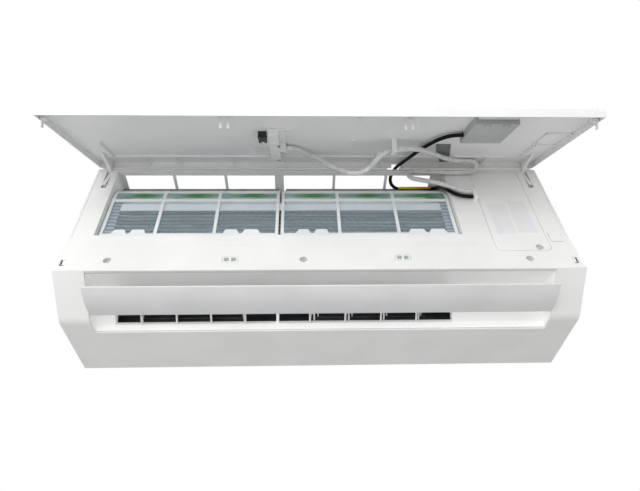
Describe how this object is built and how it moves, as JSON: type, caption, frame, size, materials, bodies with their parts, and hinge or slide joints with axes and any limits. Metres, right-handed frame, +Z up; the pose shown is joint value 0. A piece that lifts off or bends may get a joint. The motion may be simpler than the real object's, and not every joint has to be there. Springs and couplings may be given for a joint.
{
  "type": "mini split indoor unit",
  "caption": "Wall-mounted indoor unit of a split air conditioner with a hinged front panel, slide-out filters, finned coil, cross-flow fan and swinging louver.",
  "frame": {"origin": "centre of the wall plate's screw pattern, on the wall plane", "axes": "+X to the right seen from the room, +Y towards the wall, +Z up"},
  "size_m": [0.82, 0.4059, 0.3175],
  "materials": {
    "galvanised_steel": "zinc coated sheet steel",
    "chassis_plastic": "dark grey moulded polystyrene",
    "white_abs": "white moulded ABS, satin",
    "vane_plastic": "white moulded polypropylene",
    "fan_plastic": "black glass-filled plastic",
    "fin_aluminium": "blue coated aluminium fins",
    "copper": "bare copper tube",
    "brass": "machined brass",
    "screw_steel": "zinc plated steel",
    "motor_casing": "zinc plated and painted pressings",
    "bush_rubber": "black rubber",
    "black_plastic": "black nylon",
    "circuit_board": "green laminate with parts",
    "grey_plastic": "pale grey moulded ABS",
    "filter_mesh": "woven polypropylene mesh",
    "black_cable": "black PVC jacket",
    "white_sleeve": "white PVC sleeve",
    "yellow_sleeve": "yellow heat-shrink sleeve"
  },
  "bodies": {
    "housing": {"wall_plate": "galvanised_steel", "rear_chassis": "chassis_plastic", "outlet_housing": "white_abs", "drain_pan": "chassis_plastic", "drain_plug": "bush_rubber", "front_frame": "white_abs", "frame_screws": "screw_steel", "panel_catches": "white_abs", "cable_grommet": "bush_rubber", "fin_pack_front": "fin_aluminium", "fin_pack_top": "fin_aluminium", "fin_pack_rear": "fin_aluminium", "evaporator_tubes": "copper", "evaporator_end_plates": "galvanised_steel", "coil_seals": "white_abs", "coil_sensor": "copper", "sensor_sleeve": "yellow_sleeve", "liquid_pipe": "copper", "gas_pipe": "copper", "flare_nuts": "brass", "control_box": "white_abs", "control_board": "circuit_board", "terminal_block": "black_plastic", "control_cover": "white_abs", "button_switch": "black_plastic", "fan_motor": "motor_casing", "motor_bracket": "galvanised_steel", "louver_motor": "motor_casing", "swing_motors": "motor_casing", "bearing_holder": "chassis_plastic", "bearing_bush": "bush_rubber", "wifi_cable": "black_cable", "display_cable": "white_sleeve"},
    "fan": {"cross_flow_fan": "fan_plastic", "fan_shaft": "screw_steel"},
    "panel": {"front_panel": "white_abs", "hinge_arms": "white_abs", "wifi_box": "grey_plastic", "wifi_box_cover": "grey_plastic", "display_housing": "white_abs", "display_connector": "black_plastic", "cable_clips": "white_abs", "display_lead": "white_sleeve"},
    "louver_blade": {"louver": "white_abs", "louver_coupler": "black_plastic"},
    "button": {"power_button": "white_abs"},
    "filter_left": {"filter_frame_left": "white_abs", "filter_mesh_left": "filter_mesh"},
    "filter_right": {"filter_frame_right": "white_abs", "filter_mesh_right": "filter_mesh"},
    "vane_body_1": {"vane_1": "vane_plastic"},
    "vane_body_2": {"vane_2": "vane_plastic"},
    "vane_body_3": {"vane_3": "vane_plastic"},
    "vane_body_4": {"vane_4": "vane_plastic"},
    "vane_body_5": {"vane_5": "vane_plastic"},
    "vane_body_6": {"vane_6": "vane_plastic"},
    "vane_body_7": {"vane_7": "vane_plastic"},
    "vane_body_8": {"vane_8": "vane_plastic"},
    "link_left": {"vane_link_left": "vane_plastic"},
    "link_right": {"vane_link_right": "vane_plastic"}
  },
  "joints": [
    {"name": "panel_hinge", "type": "hinge", "parent": "housing", "child": "panel", "pos_m": [0, -0.1885, 0.1245], "axis": [-1, 0, 0], "range_deg": [-54.7, 17], "deforming": ["wifi_cable", "display_cable"]},
    {"name": "louver_pivot", "type": "hinge", "parent": "housing", "child": "louver_blade", "pos_m": [0, -0.148, -0.154], "axis": [1, 0, 0], "range_deg": [-26, 50]},
    {"name": "fan_spin", "type": "hinge", "parent": "housing", "child": "fan", "pos_m": [0, -0.098, -0.038], "axis": [1, 0, 0], "continuous": true},
    {"name": "power_button_press", "type": "slide", "parent": "housing", "child": "button", "axis": [0, 1, 0], "range_m": [0, 0.002], "stiffness_N_per_m": 400, "springref_m": -0.001},
    {"name": "filter_left_swing", "type": "hinge", "parent": "housing", "child": "filter_left", "pos_m": [0, -0.124, 0.056], "axis": [-1, 0, 0], "range_deg": [0, 14]},
    {"name": "filter_right_swing", "type": "hinge", "parent": "housing", "child": "filter_right", "pos_m": [0, -0.124, 0.056], "axis": [-1, 0, 0], "range_deg": [0, 14]},
    {"name": "vane_1_swing", "type": "hinge", "parent": "housing", "child": "vane_body_1", "pos_m": [-0.2948, -0.09956, -0.14434], "axis": [0, -0.8202, 0.5721], "range_deg": [-48, 24]},
    {"name": "vane_2_swing", "type": "hinge", "parent": "housing", "child": "vane_body_2", "pos_m": [-0.2388, -0.09956, -0.14434], "axis": [0, -0.8202, 0.5721], "range_deg": [-48, 24]},
    {"name": "vane_3_swing", "type": "hinge", "parent": "housing", "child": "vane_body_3", "pos_m": [-0.1833, -0.09956, -0.14434], "axis": [0, -0.8202, 0.5721], "range_deg": [-48, 24]},
    {"name": "vane_4_swing", "type": "hinge", "parent": "housing", "child": "vane_body_4", "pos_m": [-0.12881, -0.09956, -0.14434], "axis": [0, -0.8202, 0.5721], "range_deg": [-48, 24]},
    {"name": "vane_5_swing", "type": "hinge", "parent": "housing", "child": "vane_body_5", "pos_m": [-0.01387, -0.09956, -0.14434], "axis": [0, -0.8202, 0.5721], "range_deg": [-11, 61]},
    {"name": "vane_6_swing", "type": "hinge", "parent": "housing", "child": "vane_body_6", "pos_m": [0.04353, -0.09956, -0.14434], "axis": [0, -0.8202, 0.5721], "range_deg": [-11, 61]},
    {"name": "vane_7_swing", "type": "hinge", "parent": "housing", "child": "vane_body_7", "pos_m": [0.10173, -0.09956, -0.14434], "axis": [0, -0.8202, 0.5721], "range_deg": [-11, 61]},
    {"name": "vane_8_swing", "type": "hinge", "parent": "housing", "child": "vane_body_8", "pos_m": [0.15973, -0.09956, -0.14434], "axis": [0, -0.8202, 0.5721], "range_deg": [-11, 61]},
    {"name": "vane_link_left_slide", "type": "slide", "parent": "housing", "child": "link_left", "axis": [-1, 0, 0], "range_m": [-0.0126, 0.00617]},
    {"name": "vane_link_right_slide", "type": "slide", "parent": "housing", "child": "link_right", "axis": [-1, 0, 0], "range_m": [-0.00268, 0.01608]}
  ],
  "couplings": [
    {"joint": "vane_1_swing", "follows": "vane_link_left_slide", "rad_per_m": 65.104},
    {"joint": "vane_2_swing", "follows": "vane_link_left_slide", "rad_per_m": 65.104},
    {"joint": "vane_3_swing", "follows": "vane_link_left_slide", "rad_per_m": 65.104},
    {"joint": "vane_4_swing", "follows": "vane_link_left_slide", "rad_per_m": 65.104},
    {"joint": "vane_5_swing", "follows": "vane_link_right_slide", "rad_per_m": 65.104},
    {"joint": "vane_6_swing", "follows": "vane_link_right_slide", "rad_per_m": 65.104},
    {"joint": "vane_7_swing", "follows": "vane_link_right_slide", "rad_per_m": 65.104},
    {"joint": "vane_8_swing", "follows": "vane_link_right_slide", "rad_per_m": 65.104}
  ]
}
